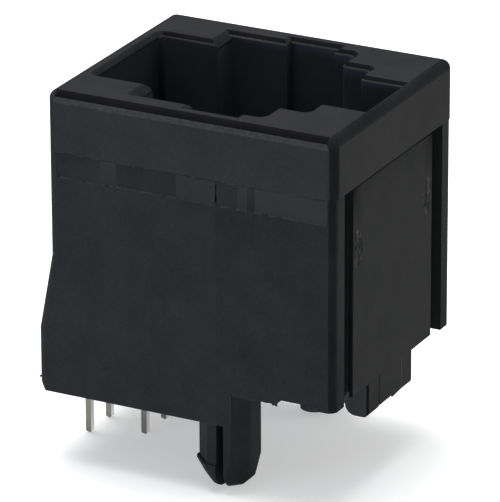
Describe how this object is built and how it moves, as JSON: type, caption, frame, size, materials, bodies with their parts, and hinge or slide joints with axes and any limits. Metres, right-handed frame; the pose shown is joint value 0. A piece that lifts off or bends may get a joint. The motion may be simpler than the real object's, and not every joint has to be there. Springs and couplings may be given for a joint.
{
  "type": "modular jack",
  "caption": "Black top-entry modular jack for a circuit board, with a stepped plug opening, split snap-in posts, spring contacts and staggered solder tails.",
  "frame": {"origin": "on the board's surface, in the middle of the rim's outline seen from above", "axes": "+Z out of the board towards the plug, +X towards the plug's latch, Y along the row of contacts"},
  "size_m": [0.0159, 0.0128, 0.0191],
  "materials": {
    "housing_plastic": "black, fine spark-eroded texture",
    "carrier_plastic": "black, as moulded",
    "contact_metal": "tin-plated phosphor bronze"
  },
  "bodies": {
    "root": {"housing": "housing_plastic", "contact_carrier": "carrier_plastic", "contact_1": "contact_metal", "contact_2": "contact_metal", "contact_3": "contact_metal", "contact_4": "contact_metal", "contact_5": "contact_metal", "contact_6": "contact_metal"}
  },
  "joints": []
}
